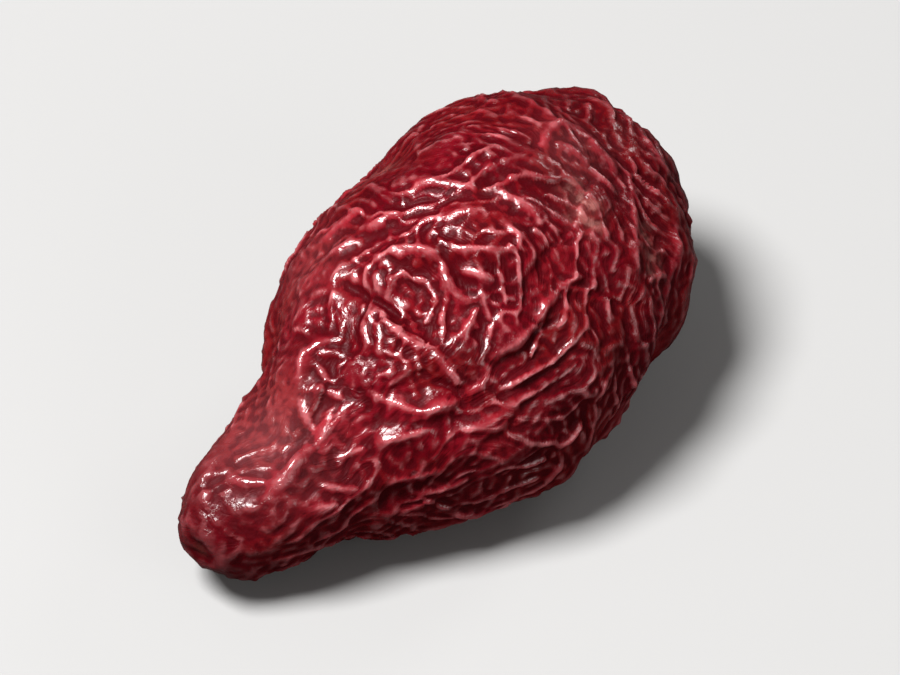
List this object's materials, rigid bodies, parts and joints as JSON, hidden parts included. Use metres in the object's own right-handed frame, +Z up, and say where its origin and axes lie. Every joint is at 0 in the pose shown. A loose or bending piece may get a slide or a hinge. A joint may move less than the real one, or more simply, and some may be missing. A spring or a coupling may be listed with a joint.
{
  "type": "dried cornelian cherry",
  "caption": "Small teardrop-shaped dried fruit: glossy deep red skin shrunk into close wrinkles and folds, narrow at the stalk end and full and round at the other.",
  "frame": {"origin": "middle of the underside of the bounding box, on the surface the fruit lies on", "axes": "+X along the fruit from the narrow stalk end to the full blunt end, +Z up from the surface it lies on, +Y across, to the side the narrow end bends to"},
  "size_m": [0.0212, 0.0116, 0.0104],
  "materials": {
    "dried_skin": "dried fruit skin, leathery, deep crimson with a soft gloss, darker in the furrows"
  },
  "bodies": {
    "root": {"dried_cornelian_cherry": "dried_skin"}
  },
  "joints": []
}
